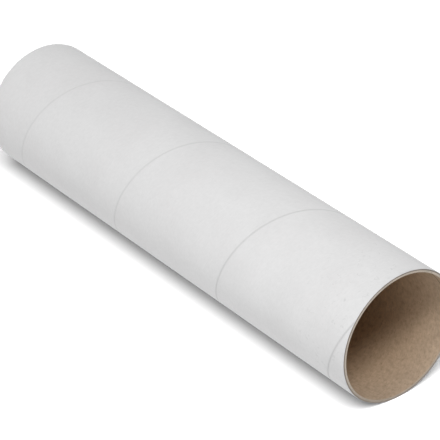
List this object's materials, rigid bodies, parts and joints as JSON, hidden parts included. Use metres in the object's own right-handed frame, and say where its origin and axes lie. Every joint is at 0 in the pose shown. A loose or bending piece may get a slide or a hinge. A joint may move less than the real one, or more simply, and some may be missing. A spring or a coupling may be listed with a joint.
{
  "type": "cardboard mailing tube",
  "caption": "Open round mailing tube of wound cardboard with a white outer liner, brown kraft inside and square-cut ends.",
  "frame": {"origin": "centre of the lower end, on the surface that the tube stands on", "axes": "+Z along the tube's axis, from the end it stands on to the other; the tube is round, so +X and +Y are free"},
  "size_m": [0.079, 0.079, 0.33],
  "materials": {
    "board": "matt white paper liner outside, bare brown kraft on the inside and on the cut rims"
  },
  "bodies": {
    "root": {"tube": "board"}
  },
  "joints": []
}
